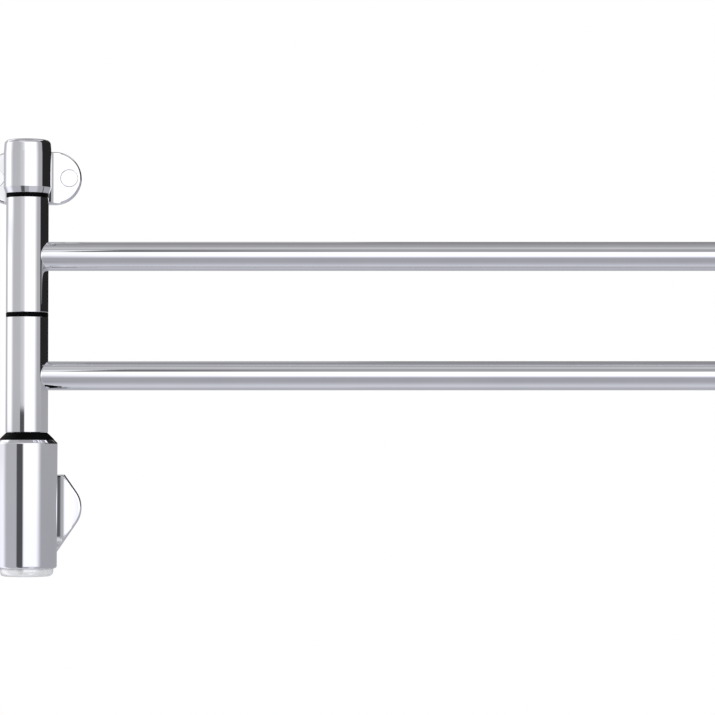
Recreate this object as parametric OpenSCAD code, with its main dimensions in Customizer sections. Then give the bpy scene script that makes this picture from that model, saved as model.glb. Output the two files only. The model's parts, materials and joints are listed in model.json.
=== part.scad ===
// Wall-hung heated towel rail: an upright column with two tubular arms that swing out sideways.
// Millimetres. +Z is up, the wall is the plane y = 0, the rail stands in front of it at negative y,
// and the arms point along +X at rest. The origin is the middle of the lower wall plate's screws.

/* [Column] */
// Distance from the wall to the axis of the column
axis_to_wall = 40; // [38:0.5:50]
// Outside diameter of the two turning sleeves
sleeve_d = 32; // [30:0.5:36]
// Wall thickness of the sleeves
sleeve_wall = 2.5; // [2:0.1:3]
// Length of each turning sleeve
sleeve_len = 87; // [75:1:120]
// Height of the black rings above and between the sleeves
ring_h = 3.1; // [2:0.1:5]
// Height of the black conical collar under the lower sleeve
collar_h = 5.5; // [4:0.5:9]
// Gap at each turning face
run_gap = 0.2; // [0.15:0.05:0.4]
// Outside diameter of the fixed spindle inside the sleeves
spindle_d = 20; // [18:0.5:21]
// Wall thickness of the spindle
spindle_wall = 2; // [1.5:0.1:2.5]
// Length of each plain bush
bush_len = 14; // [10:1:20]

/* [Arms] */
// Reach of each arm from the column's axis to its tip
arm_reach = 550; // [300:10:700]
// Outside diameter of the arms
arm_d = 22; // [20:0.5:24]
// Wall thickness of the arms
arm_wall = 1.5; // [1:0.1:2]
// How far each arm sits below the middle of its sleeve
arm_below_mid = 0.8; // [0:0.1:4]
// Swing of each arm, in degrees
swing = 180; // [90:5:180]
// Diameter of the heating cable in the arms
heater_d = 4; // [3:0.5:5]
// Number of spacers along each heating cable
spacer_count = 5; // [3:1:8]

/* [Top cap and bracket] */
// Diameter of the fixed cap at the top of the column
cap_d = 36; // [34:0.5:42]
// Height of the cap
cap_h = 40.7; // [36:0.5:55]
// Wall thickness of the cap
cap_wall = 2.5; // [2:0.1:3]
// Radius of the cap's upper edge
cap_edge_r = 5; // [2:0.5:6]
// Thickness of both wall flanges
flange_t = 6; // [5.5:0.5:7]
// Radius of the round ends of the upper flange
lobe_r = 20.4; // [18:0.2:22]
// Distance between the centres of those round ends
lobe_pitch = 35.2; // [32:0.2:40]
// Distance of each upper screw hole from the end of its flange
top_hole_inset = 9.8; // [9:0.2:12]
// Height of the upper screw holes above the lower edge of the cap
top_hole_above_cap = 14.9; // [13:0.1:17]

/* [Lower housing and bracket] */
// Diameter of the lower housing
housing_d = 46.5; // [42:0.5:52]
// Height of the lower housing
housing_h = 97.1; // [92:0.5:120]
// Wall thickness of the lower housing
housing_wall = 2.4; // [1.8:0.1:3]
// How far the housing reaches below the middle of the lower bracket
housing_drop = 45.1; // [43:0.1:50]
// Bevel round the top of the housing
housing_bevel = 2.5; // [1.5:0.1:3.5]
// Radius of the nose of each ear of the lower bracket
ear_r = 21; // [18:0.5:24]
// Width of the lower bracket over its ears
ear_span = 76; // [72:1:84]
// Distance of each lower screw hole from the nose of its ear
ear_hole_inset = 10; // [9:0.5:12]
// Height of the lower bracket's flat top above its middle
low_top = 25.4; // [23.6:0.2:28]
// Radius of the wall screw holes
wall_hole_r = 2.75; // [2:0.25:3]

/* [Button] */
// Gap round the pale button in the mouth of the housing
button_gap = 0.5; // [0.3:0.1:2]
// How far the button stands out below the housing
button_out = 6; // [4:0.5:8]
// Travel of the button
button_travel = 1.5; // [0.5:0.1:2]

/* [Hidden] */
$fn = 64;
over = 1;                                  // overrun of every cut
seat_gap = 0.05;                           // clearance where a fixed piece sits in or on another
bush_clear = 0.06;                         // radial running clearance of the bushes on the spindle
arc_steps = 8;                             // flats that stand for a quarter of a rounded edge
hull_fn = 32;

sleeve_r = sleeve_d / 2;
sleeve_in_r = sleeve_r - sleeve_wall;
spindle_r = spindle_d / 2;
spindle_in_r = spindle_r - spindle_wall;
arm_r = arm_d / 2;
arm_in_r = arm_r - arm_wall;
cap_r = cap_d / 2;
cap_in_r = cap_r - cap_wall;
housing_r = housing_d / 2;
housing_in_r = housing_r - housing_wall;
housing_roof = 3;
heater_r = heater_d / 2;

// Heights, stacked from the housing up
housing_z = -housing_drop;
housing_top = housing_z + housing_h;
lower_z = housing_top + collar_h + run_gap;
middle_ring_z = lower_z + sleeve_len + run_gap;
upper_z = middle_ring_z + ring_h + run_gap;
top_ring_z = upper_z + sleeve_len + run_gap;
cap_z = top_ring_z + ring_h;
arm_above = sleeve_len / 2 - arm_below_mid;
top_hole_z = cap_z + top_hole_above_cap;
top_hole_pitch = lobe_pitch + 2 * (lobe_r - top_hole_inset);
low_hole_pitch = ear_span - 2 * ear_hole_inset;

// Sockets that hold the spindle at both ends, and the screws that draw the brackets on to them
cap_roof = 2.5;
top_socket_h = cap_h - cap_roof;
top_bore_depth = 28;
low_socket_lip = 4;
bolt_r = 3;
bolt_head_r = 5;
bolt_head_h = 6;
bolt_clear = 0.2;
bolt_tip_y = axis_to_wall - spindle_in_r - bolt_clear;
top_bolt_z = top_hole_z;
top_bolt_land = 8;
low_bolt_wall = 5.2;
low_bolt_z = low_top - low_bolt_wall - bolt_head_r - bolt_clear;
low_bolt_land = 6;
spindle_z = low_bolt_z - 2 * bolt_r;
spindle_len = cap_z + top_bore_depth - spindle_z;
low_socket_z = spindle_z - low_socket_lip;
low_socket_h = housing_top - housing_roof - low_socket_z;

// Windows for the leads and slots for the stop pins, cut round the spindle
lead_r = 1.6;
lead_clear = 1;
window_h = 12;
window_margin = asin((lead_r + lead_clear) / spindle_in_r);
stop_pin_r = 1.5;
stop_clear = 0.2;
stop_margin = asin((stop_pin_r + stop_clear) / spindle_in_r);
stop_slot_h = 2 * (stop_pin_r + stop_clear);

// Wiring
loom_r = 3.2;
turn_tube_r = 1.4;
turn_r = loom_r + turn_tube_r + run_gap * 3;
turn_sweep = 300;
crimp_len = 12;
crimp_x = sleeve_r + heater_d;

// Brackets
flange_edge = 1.8;
neck_wrap = 4;                             // the necks end this far behind the column's axis
neck_relief = 1.5;                         // room between the upper neck and the turning sleeve
top_neck_in = 6.5;                         // the necks' sides lie this far inside what they hold
low_neck_in = 3.7;
top_neck_half = cap_r - top_neck_in;
low_neck_half = housing_r - low_neck_in;
top_sweep = 10;                            // radii in which the necks spread on to their flanges
low_sweep = 11;
low_flare = 6;                             // the lower flange's flat top reaches this far past the neck
low_neck_drop = 22;
low_corner_r = 1.2;
low_top_half = low_neck_half + low_flare;
low_tail_half = 12;
low_tail_r = 3;
low_tail_z = 42;
lock_len = 8;                              // length of the screw in the tail
ear_x = ear_span / 2 - ear_r;
pocket_rim = 3;
wall_plate_t = 2.5;
pocket_depth = wall_plate_t + seat_gap * 2;
cover_r = 6.8;
cover_t = 1.4;
cover_skirt = 1.2;
screw_room = 3.2;
cover_depth = cover_t + screw_room;

// Cable passage in the lower bracket
inlet_z = -5;
inlet_r = 8;
cable_r = 3.5;
grommet_lip = 1.5;
passage_r = 7.5;
housing_hole_r = 6;
lock_screw_r = 2;

// Button, its guide and the boards above it
button_r = housing_in_r - button_gap;
button_sink = 0.5;
button_spare = 0.6;
guide_recess = button_sink + button_travel + button_spare;
guide_t = 4;
guide_z = housing_z + guide_recess;
button_top = housing_z + button_sink;
button_bottom = housing_z - button_out;
button_edge = 4.2;
hub_r = 8;
hub_clear = 0.08;
clip_t = 1;
clip_grip = 1;
clip_out = 2.5;
clip_z = guide_z + guide_t + run_gap;
hub_top = clip_z + clip_t * 2;
spring_len = 10;
spring_r = 5.2;
spring_wire_r = 0.35;
spring_turns = 5;
board_t = 1.6;
switch_board_z = hub_top + spring_len;
ledge_w = 3;
switch_board_r = housing_in_r - ledge_w;
switch_w = 6;
switch_h = 4;
plunger_r = 1.5;
plunger_dip = 1.2;
rail_gap = 0.3;
carrier_t = 2.2;
carrier_top = low_socket_z;
pillar_r = 2.6;
pillar_x = housing_in_r - pillar_r - rail_gap * 2;
guide_screw_r = 1.5;
board_clear = 1.4;
board_y = loom_r + board_clear;
rail_inset = 1.9;
board_w = 2 * (pillar_x - rail_inset);
board_bottom = switch_board_z + board_t;
board_h = carrier_top - carrier_t - board_bottom;

// Points of an arc about (cx, cy), from angle a0 to a1
function arc(cx, cy, r, a0, a1) =
  [for (i = [0:arc_steps]) let (a = a0 + (a1 - a0) * i / arc_steps) [cx + r * cos(a), cy + r * sin(a)]];

module at_axis(z) translate([0, -axis_to_wall, z]) children();

// A 2D outline in x and z, made solid from distance near to distance far in front of the wall
module from_wall(near, far) translate([0, -near, 0]) rotate([90, 0, 0]) linear_extrude(far - near) children();

// A round bar along y, from distance near to distance far in front of the wall
module bar_from_wall(x, z, near, far, r) translate([x, -near, z]) rotate([90, 0, 0]) cylinder(r = r, h = far - near);

module tube(out_r, in_r, h) difference() {
  cylinder(r = out_r, h = h);
  translate([0, 0, -over]) cylinder(r = in_r, h = h + 2 * over);
}

// A sector of a disc from angle a0 to a1, to cut windows and slots
module sector(r, a0, a1, h) rotate([0, 0, a0]) rotate_extrude(angle = a1 - a0) square([r, h]);

// Two round-ended lobes side by side
module top_outline(inset) translate([0, top_hole_z]) hull() for (side = [-1, 1])
  translate([side * lobe_pitch / 2, 0]) circle(r = lobe_r - inset, $fn = hull_fn * 2);

// Ears left and right, a flat top and a narrow tail
module low_outline(inset) offset(delta = -inset) hull() for (side = [-1, 1]) {
  translate([side * ear_x, 0]) circle(r = ear_r, $fn = hull_fn * 2);
  translate([side * (low_top_half - low_corner_r), low_top - low_corner_r])
    circle(r = low_corner_r, $fn = hull_fn / 2);
  translate([side * low_tail_half, low_tail_r - low_tail_z])
    circle(r = low_tail_r, $fn = hull_fn / 2);
}

// The wall plate's outline, which ends above the lock screw in the tail
module plate_outline(gap) intersection() {
  low_outline(pocket_rim + gap);
  translate([-ear_span, lock_len - low_tail_z + gap]) square([2 * ear_span, 2 * low_tail_z]);
}

// The saddle and bolt hole that a bracket's neck has for the round piece that it holds
module neck_cuts(column_r, bolt_z, land) {
  at_axis(housing_z) cylinder(r = column_r + seat_gap, h = cap_z + cap_h - housing_z);
  bar_from_wall(0, bolt_z, -over, axis_to_wall, bolt_r + bolt_clear);
  bar_from_wall(0, bolt_z, -over, axis_to_wall - column_r - land, bolt_head_r + bolt_clear);
}

// A neck whose sides spread on to its flange in a quarter round, from height z to height z + h
module neck(half, sweep, z, h) translate([0, 0, z]) linear_extrude(h) {
  side = concat([[half, neck_wrap - axis_to_wall]],
    arc(half + sweep, -flange_t - sweep, sweep, 180, 90), [[half + sweep, flange_edge - flange_t]]);
  polygon(concat(side, [for (i = [len(side) - 1:-1:0]) [-side[i][0], side[i][1]]]));
}

module top_bracket() color("silver") difference() {
  union() {
    hull() {
      from_wall(0, flange_t - flange_edge) top_outline(0);
      from_wall(0, flange_t) top_outline(flange_edge);
    }
    intersection() {
      neck(top_neck_half, top_sweep, top_hole_z - lobe_r, 2 * lobe_r);
      from_wall(0, axis_to_wall) top_outline(0);
    }
  }
  neck_cuts(cap_r, top_bolt_z, top_bolt_land);
  at_axis(upper_z) cylinder(r = sleeve_r + neck_relief, h = cap_z - upper_z);
  for (side = [-1, 1]) {
    bar_from_wall(side * top_hole_pitch / 2, top_hole_z, -over, flange_t + over, wall_hole_r);
    bar_from_wall(side * top_hole_pitch / 2, top_hole_z, flange_t - cover_depth, flange_t + over, cover_r);
  }
}

module top_screw_covers() color("silver") for (side = [-1, 1])
  translate([side * top_hole_pitch / 2, 0, top_hole_z]) difference() {
    bar_from_wall(0, 0, flange_t - cover_t - cover_skirt, flange_t, cover_r - seat_gap * 3);
    bar_from_wall(0, 0, flange_t - cover_t - cover_skirt - over, flange_t - cover_t, cover_r - cover_skirt);
  }

// Hexagon-socket bolt whose head is on the wall's side
module bracket_bolt(column_r, bolt_z, land) {
  head_y = axis_to_wall - column_r - land;
  difference() {
    union() {
      bar_from_wall(0, bolt_z, head_y - bolt_head_h, head_y, bolt_head_r);
      bar_from_wall(0, bolt_z, head_y - over, bolt_tip_y, bolt_r);
    }
    bar_from_wall(0, bolt_z, head_y - bolt_head_h - over, head_y - bolt_head_h / 2, bolt_r * 0.8, $fn = 6);
  }
}

module top_bracket_bolt() color("dimgray") bracket_bolt(cap_r, top_bolt_z, top_bolt_land);

module low_bracket_bolt() color("dimgray") bracket_bolt(housing_r, low_bolt_z, low_bolt_land);

cap_taper = 1.6;
cap_taper_h = 4.5;

module top_cap() color("silver") difference() {
  at_axis(cap_z) rotate_extrude() polygon(concat(
    [[cap_in_r, 0], [cap_r - cap_taper, 0], [cap_r, cap_taper_h]],
    arc(cap_r - cap_edge_r, cap_h - cap_edge_r, cap_edge_r, 0, 90),
    [[0, cap_h], [0, cap_h - cap_roof], [cap_in_r, cap_h - cap_roof]]));
  bar_from_wall(0, top_bolt_z, 0, axis_to_wall, bolt_r + bolt_clear);
}

module top_socket() color("gainsboro") difference() {
  at_axis(cap_z) cylinder(r = cap_in_r - seat_gap, h = top_socket_h);
  at_axis(cap_z - over) cylinder(r = spindle_r + seat_gap, h = top_bore_depth + over);
  bar_from_wall(0, top_bolt_z, 0, axis_to_wall, bolt_r + seat_gap);
}

module black_ring(z) color("black") at_axis(z) tube(sleeve_r, spindle_r + seat_gap, ring_h);

module top_ring() black_ring(top_ring_z);

module middle_ring() black_ring(middle_ring_z);

module spindle() color("lightgray") difference() {
  at_axis(spindle_z) tube(spindle_r, spindle_in_r, spindle_len);
  for (z0 = [lower_z, upper_z]) {
    at_axis(z0 + arm_above - window_h / 2)
      sector(spindle_r + over, -swing - window_margin, window_margin, window_h);
    at_axis(z0 + sleeve_len - bush_len / 2 - stop_slot_h / 2)
      sector(spindle_r + over, 180 - swing - stop_margin, 180 + stop_margin, stop_slot_h);
  }
  for (z = [top_bolt_z, low_bolt_z]) bar_from_wall(0, z, 0, axis_to_wall, bolt_r + bolt_clear);
}

collar_foot_r = housing_r - housing_bevel;
collar_lip = 0.3;

module collar() color("black") at_axis(housing_top) rotate_extrude() polygon([
  [spindle_r + seat_gap, 0], [collar_foot_r, 0], [collar_foot_r, collar_lip],
  [sleeve_r - collar_lip, collar_h - collar_lip], [sleeve_r - collar_lip, collar_h],
  [spindle_r + seat_gap, collar_h]]);

housing_foot_r = 2;

module housing() color("silver") difference() {
  at_axis(housing_z) rotate_extrude() polygon(concat(
    [[housing_in_r, 0]],
    arc(housing_r - housing_foot_r, housing_foot_r, housing_foot_r, -90, 0),
    [[housing_r, housing_h - housing_bevel], [housing_r - housing_bevel, housing_h],
     [spindle_r + seat_gap, housing_h], [spindle_r + seat_gap, housing_h - housing_roof],
     [housing_in_r, housing_h - housing_roof]]));
  bar_from_wall(0, low_bolt_z, 0, axis_to_wall, bolt_r + bolt_clear);
  bar_from_wall(0, inlet_z, 0, axis_to_wall, housing_hole_r);
}

grub_r = 2.5;
grub_z = low_socket_z + low_socket_h - grub_r * 4;
carrier_screw_r = 1.5;
earth_r = 2;
earth_depth = 8;
earth_x = spindle_r + earth_r;

module low_socket() color("gainsboro") difference() {
  at_axis(low_socket_z) cylinder(r = housing_in_r - seat_gap, h = low_socket_h);
  at_axis(spindle_z) cylinder(r = spindle_r + seat_gap, h = low_socket_h);
  at_axis(low_socket_z - over) cylinder(r = spindle_in_r, h = low_socket_h);
  bar_from_wall(0, low_bolt_z, 0, axis_to_wall, bolt_r + seat_gap);
  at_axis(grub_z) for (side = [0, 180]) rotate([0, 90, side]) cylinder(r = grub_r, h = housing_r);
  for (side = [-1, 1]) at_axis(low_socket_z) translate([side * pillar_x, 0, -over])
    cylinder(r = carrier_screw_r, h = earth_depth + over);
  at_axis(low_socket_z) translate([0, -earth_x - earth_r, -over]) cylinder(r = earth_r, h = earth_depth + over);
}

// Two headless screws that clamp the spindle
module socket_grub_screws() color("dimgray") at_axis(grub_z) for (side = [0, 180]) rotate([0, 90, side])
  translate([0, 0, spindle_r + seat_gap]) difference() {
    cylinder(r = grub_r - seat_gap, h = housing_in_r - spindle_r - seat_gap * 4);
    translate([0, 0, (housing_in_r - spindle_r) / 2])
      cylinder(r = grub_r * 0.5, h = housing_in_r, $fn = 6);
  }

module low_bracket() color("silver") difference() {
  union() {
    hull() {
      from_wall(0, flange_t - flange_edge) low_outline(0);
      from_wall(0, flange_t) low_outline(flange_edge);
    }
    intersection() {
      neck(low_neck_half, low_sweep, -low_neck_drop, low_top + low_neck_drop);
      from_wall(0, axis_to_wall) low_outline(0);
    }
  }
  neck_cuts(housing_r, low_bolt_z, low_bolt_land);
  from_wall(-over, pocket_depth) plate_outline(0);
  bar_from_wall(0, inlet_z, -over, flange_t + over, inlet_r + grommet_lip + seat_gap * 4);
  bar_from_wall(0, inlet_z, 0, axis_to_wall, passage_r);
  translate([0, -flange_t / 2, -low_tail_z - over]) cylinder(r = lock_screw_r + seat_gap, h = lock_len + 2 * over);
}

module low_wall_plate() color("lightgray") difference() {
  from_wall(0, wall_plate_t) plate_outline(seat_gap * 4);
  for (side = [-1, 1])
    bar_from_wall(side * low_hole_pitch / 2, 0, -over, wall_plate_t + over, wall_hole_r);
  bar_from_wall(0, inlet_z, -over, wall_plate_t + over, inlet_r);
}

// Headless screw that pushes up against the wall plate's lower edge
module low_lock_screw() color("dimgray") translate([0, -flange_t / 2, -low_tail_z]) difference() {
  cylinder(r = lock_screw_r, h = lock_len);
  translate([0, 0, -over]) cylinder(r = lock_screw_r * 0.5, h = lock_len / 2 + over, $fn = 6);
}

module inlet_grommet() color("black") difference() {
  union() {
    bar_from_wall(0, inlet_z, 0, wall_plate_t, inlet_r - seat_gap);
    bar_from_wall(0, inlet_z, wall_plate_t, wall_plate_t + grommet_lip, inlet_r + grommet_lip);
  }
  bar_from_wall(0, inlet_z, -over, wall_plate_t + grommet_lip + over, cable_r);
}

module housing_grommet() color("black") {
  skin_y = axis_to_wall - housing_r;
  difference() {
    union() {
      bar_from_wall(0, inlet_z, skin_y - grommet_lip - seat_gap, skin_y - seat_gap, passage_r - seat_gap);
      bar_from_wall(0, inlet_z, skin_y - grommet_lip, skin_y + housing_wall, housing_hole_r - seat_gap);
    }
    bar_from_wall(0, inlet_z, skin_y - grommet_lip - over, skin_y + housing_wall + over, cable_r);
  }
}

rail_w = 3.4;
rail_groove = 1.4;                         // how far the rails reach out past the board's edges

// Frame that hangs under the lower socket and holds both boards
module board_carrier() color("whitesmoke") at_axis(0) difference() {
  union() {
    translate([0, 0, carrier_top - carrier_t]) cylinder(r = housing_in_r - rail_gap, h = carrier_t);
    translate([0, 0, switch_board_z - carrier_t]) difference() {
      tube(housing_in_r - rail_gap, switch_board_r - carrier_t, carrier_t + board_t);
      translate([0, 0, carrier_t]) cylinder(r = switch_board_r + rail_gap / 2, h = board_t + over);
    }
    for (side = [-1, 1]) {
      translate([side * pillar_x, 0, guide_z + guide_t]) cylinder(r = pillar_r, h = carrier_top - guide_z - guide_t);
      translate([side * (board_w / 2 + rail_groove - rail_w / 2) - rail_w / 2, board_y - board_t, board_bottom])
        cube([rail_w, board_t * 3, carrier_top - board_bottom]);
    }
  }
  translate([0, 0, carrier_top - carrier_t - over]) cylinder(r = spindle_in_r, h = carrier_t + 2 * over);
  translate([-board_w / 2 - seat_gap, board_y - seat_gap, board_bottom - seat_gap])
    cube([board_w + 2 * seat_gap, board_t + 2 * seat_gap, board_h + seat_gap]);
  translate([-2 * earth_r - run_gap, -earth_x - 3 * earth_r - run_gap, carrier_top - carrier_t - over])
    cube([4 * earth_r + 2 * run_gap, earth_x + 2 * earth_r, carrier_t + 2 * over]);
  for (side = [-1, 1]) translate([side * pillar_x, 0, 0]) {
    translate([0, 0, guide_z]) cylinder(r = guide_screw_r, h = guide_t * 2.5);
    translate([0, 0, carrier_top - earth_depth]) cylinder(r = carrier_screw_r, h = earth_depth + over);
  }
}

// Studs that join the carrier's pillars to the lower socket
module carrier_screws() color("dimgray") at_axis(0) for (side = [-1, 1])
  translate([side * pillar_x, 0, carrier_top - earth_depth + seat_gap])
    cylinder(r = carrier_screw_r - seat_gap, h = 2 * earth_depth - 2 * seat_gap);

module control_board() color("darkgreen") at_axis(board_bottom)
  translate([-board_w / 2, board_y, 0]) cube([board_w, board_t, board_h - seat_gap]);

terminal_w = 16;
terminal_d = 9;
terminal_h = 10;
terminal_pole_r = 1.6;

module terminal_block() color("forestgreen") at_axis(inlet_z - terminal_h / 2)
  translate([0, board_y + board_t, 0]) difference() {
    translate([-terminal_w / 2, 0, 0]) cube([terminal_w, terminal_d, terminal_h]);
    for (pole = [-1:1]) translate([pole * terminal_w / 3, terminal_d / 2, terminal_h / 3])
      rotate([-90, 0, 0]) cylinder(r = terminal_pole_r, h = terminal_d);
    for (pole = [-1:1]) translate([pole * terminal_w / 3, terminal_d / 2, terminal_h * 2 / 3])
      cylinder(r = terminal_pole_r, h = terminal_h);
  }

relay_gap = 0.6;
relay_w = board_w / 2 + rail_groove - rail_w - loom_r - 2 * relay_gap;
relay_d = 9;
relay_h = 14;
fuse_r = 2;
fuse_len = 9;
lamp_r = 1.5;
lamp_h = 4;

module relay() color("mediumblue") at_axis(board_bottom + run_gap)
  translate([-loom_r - relay_gap - relay_w, board_y - relay_d, 0]) cube([relay_w, relay_d, relay_h]);

module thermal_fuse() color("peru") at_axis(board_bottom + board_h / 2)
  translate([board_w / 2 - rail_w - fuse_r, board_y - fuse_r, 0]) cylinder(r = fuse_r, h = fuse_len);

plug_h = 7;
loom_foot_z = board_bottom + board_h * 0.6;

module loom_plug() color("ivory") at_axis(loom_foot_z - plug_h)
  translate([-loom_r, -loom_r, 0]) cube([2 * loom_r, loom_r + board_y, plug_h]);

// The sheathed wires that climb inside the spindle to both windows
module wiring_loom() color("white") at_axis(loom_foot_z)
  cylinder(r = loom_r, h = upper_z + arm_above + window_h / 2 - loom_foot_z);

tag_t = 0.8;

module earth_tag() color("gold") at_axis(low_socket_z - tag_t) translate([0, -earth_x - earth_r, 0])
  difference() {
    union() {
      cylinder(r = earth_r * 2, h = tag_t);
      translate([-earth_r * 0.8, 0, 0]) cube([earth_r * 1.6, earth_r * 2.6, tag_t]);
    }
    translate([0, 0, -over]) cylinder(r = earth_r + seat_gap, h = tag_t + 2 * over);
  }

module earth_screw() color("gold") at_axis(low_socket_z - tag_t) translate([0, -earth_x - earth_r, 0]) {
  cylinder(r = earth_r - seat_gap, h = earth_depth + tag_t - seat_gap);
  translate([0, 0, -earth_r]) cylinder(r = earth_r * 1.8, h = earth_r);
}

lamp_x = 12;

module switch_board() color("darkgreen") at_axis(switch_board_z) difference() {
  cylinder(r = switch_board_r, h = board_t);
  for (side = [-1, 1]) translate([side * pillar_x, 0, -over])
    cylinder(r = pillar_r + rail_gap, h = board_t + 2 * over);
}

module push_switch() color("dimgray") at_axis(switch_board_z - switch_h) difference() {
  translate([-switch_w / 2, -switch_w / 2, 0]) cube([switch_w, switch_w, switch_h]);
  translate([0, 0, -over]) cylinder(r = plunger_r + hub_clear, h = plunger_dip + button_travel + run_gap + over);
}

module indicator_lamp() color("azure") at_axis(switch_board_z - lamp_h) translate([0, -lamp_x, 0]) {
  translate([0, 0, lamp_r]) cylinder(r = lamp_r, h = lamp_h - lamp_r);
  translate([0, 0, lamp_r]) sphere(r = lamp_r);
}

screw_head_r = 2.6;
screw_head_h = 1.6;

// Plate that closes the housing and guides the button
module button_guide() color("dimgray") at_axis(guide_z) difference() {
  cylinder(r = housing_in_r - seat_gap, h = guide_t);
  translate([0, 0, -over]) cylinder(r = hub_r + hub_clear, h = guide_t + 2 * over);
  translate([0, -lamp_x, -over]) cylinder(r = lamp_r * 1.6, h = guide_t + 2 * over);
  for (side = [-1, 1]) translate([side * pillar_x, 0, -over]) {
    cylinder(r = guide_screw_r + seat_gap, h = guide_t + 2 * over);
    cylinder(r = screw_head_r + seat_gap, h = screw_head_h + over);
  }
}

module guide_screws() color("dimgray") at_axis(guide_z) for (side = [-1, 1]) translate([side * pillar_x, 0, 0]) {
  cylinder(r = screw_head_r, h = screw_head_h);
  cylinder(r = guide_screw_r - seat_gap, h = guide_t * 2.4);
}

// Pale disc with a domed rim and a hub that runs in the guide
module button() color("gainsboro") at_axis(0) difference() {
  rotate_extrude() polygon(concat(
    [[0, button_bottom]],
    arc(button_r - button_edge, button_bottom + button_edge, button_edge, -90, 0),
    [[button_r, button_top], [hub_r, button_top], [hub_r, hub_top], [0, hub_top]]));
  translate([0, 0, clip_z]) tube(hub_r + over, hub_r - clip_grip, clip_t + seat_gap);
  translate([0, 0, hub_top - clip_t]) cylinder(r = plunger_r, h = clip_t + over);
}

module button_clip() color("dimgray") at_axis(clip_z) difference() {
  tube(hub_r + clip_out, hub_r - clip_grip + seat_gap, clip_t);
  translate([0, -hub_r / 2, -over]) cube([hub_r * 2, hub_r, clip_t + 2 * over]);
}

module switch_plunger() color("black") at_axis(hub_top - clip_t)
  cylinder(r = plunger_r - seat_gap / 2, h = clip_t + spring_len - switch_h + plunger_dip);

spring_steps = 12;
spring_sides = 6;

// Rings of points along the helix of the spring, joined into one closed tube
module button_spring() color("silver") at_axis(hub_top + spring_wire_r + seat_gap) {
  rings = spring_turns * spring_steps;
  climb = spring_len - 2 * spring_wire_r - 2 * seat_gap;
  points = [for (i = [0:rings]) for (k = [0:spring_sides - 1])
    let (turn = 360 * i / spring_steps, lean = 360 * k / spring_sides, r = spring_r + spring_wire_r * cos(lean))
    [r * cos(turn), r * sin(turn), climb * i / rings + spring_wire_r * sin(lean)]];
  walls = [for (i = [0:rings - 1]) for (k = [0:spring_sides - 1])
    let (a = i * spring_sides + k, b = i * spring_sides + (k + 1) % spring_sides)
    [a, a + spring_sides, b + spring_sides, b]];
  ends = [[for (k = [0:spring_sides - 1]) k],
    [for (k = [0:spring_sides - 1]) (rings + 1) * spring_sides - 1 - k]];
  polyhedron(points, concat(walls, ends));
}

// One swinging arm. Each module takes the height of the foot of its sleeve.
hole_to_arm_r = 5.5;

module sleeve(z0) color("silver") difference() {
  at_axis(z0) tube(sleeve_r, sleeve_in_r, sleeve_len);
  at_axis(z0 + arm_above) rotate([0, 90, 0]) cylinder(r = hole_to_arm_r, h = sleeve_r + over);
}

plug_flange = 2;
plug_len = 10;
plug_edge = 1;
tube_end = arm_reach - plug_flange;

module arm_tube(z0) color("silver") at_axis(z0 + arm_above) difference() {
  rotate([0, 90, 0]) cylinder(r = arm_r, h = tube_end);
  rotate([0, 90, 0]) translate([0, 0, -over]) cylinder(r = arm_in_r, h = tube_end + 2 * over);
  cylinder(r = sleeve_r + seat_gap, h = arm_d + 2 * over, center = true);
}

module end_plug(z0) color("silver") at_axis(z0 + arm_above) rotate([0, 90, 0]) rotate_extrude()
  polygon([[0, tube_end - plug_len], [arm_in_r - seat_gap, tube_end - plug_len],
    [arm_in_r - seat_gap, tube_end], [arm_r, tube_end], [arm_r, arm_reach - plug_edge],
    [arm_r - plug_edge, arm_reach], [0, arm_reach]]);

module bush(z) color("whitesmoke") at_axis(z) tube(sleeve_in_r - seat_gap, spindle_r + bush_clear, bush_len);

module low_bush(z0) bush(z0);

// The upper bush also carries the stop pin
module top_bush(z0) difference() {
  bush(z0 + sleeve_len - bush_len);
  stop_pin_shape(z0, seat_gap, sleeve_in_r + over);
}

module stop_pin_shape(z0, clear, far) at_axis(z0 + sleeve_len - bush_len / 2) rotate([0, 90, 180])
  translate([0, 0, spindle_in_r + stop_clear]) cylinder(r = stop_pin_r + clear, h = far - spindle_in_r - stop_clear);

module stop_pin(z0) color("dimgray") stop_pin_shape(z0, 0, sleeve_in_r - seat_gap * 2);

run_pitch = heater_d * 1.75;
heater_foot = crimp_x + crimp_len;
heater_end = arm_reach - plug_flange - plug_len - run_pitch;

// Heating cable, laid out along the arm and back
module heater(z0) color("firebrick") at_axis(z0 + arm_above) {
  for (side = [-1, 1]) translate([heater_foot, 0, side * run_pitch / 2]) rotate([0, 90, 0])
    cylinder(r = heater_r, h = heater_end - heater_foot);
  translate([heater_end, 0, 0]) rotate([90, 0, 0]) rotate([0, 0, -90])
    rotate_extrude(angle = 180) translate([run_pitch / 2, 0]) circle(r = heater_r);
}

spacer_t = 3;

module spacers(z0) color("whitesmoke") at_axis(z0 + arm_above) for (i = [1:spacer_count])
  translate([heater_foot + (heater_end - heater_foot) * i / (spacer_count + 1), 0, 0]) rotate([0, 90, 0])
    difference() {
      cylinder(r = arm_in_r - run_gap, h = spacer_t);
      for (side = [-1, 1]) translate([side * run_pitch / 2, 0, -over])
        cylinder(r = heater_r + seat_gap, h = spacer_t + 2 * over);
    }

// Lead from the heating cable into the spindle, with one slack turn round the loom
module lead(z0) color("lightgray") at_axis(z0 + arm_above) {
  translate([crimp_x, -heater_d * 0.75, -run_pitch / 2 - heater_r])
    cube([crimp_len, heater_d * 1.5, run_pitch + heater_d]);
  translate([turn_r, 0, 0]) rotate([0, 90, 0]) cylinder(r = lead_r, h = crimp_x - turn_r + over);
  rotate([0, 0, -turn_sweep]) rotate_extrude(angle = turn_sweep)
    translate([turn_r, 0]) circle(r = turn_tube_r);
}

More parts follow.
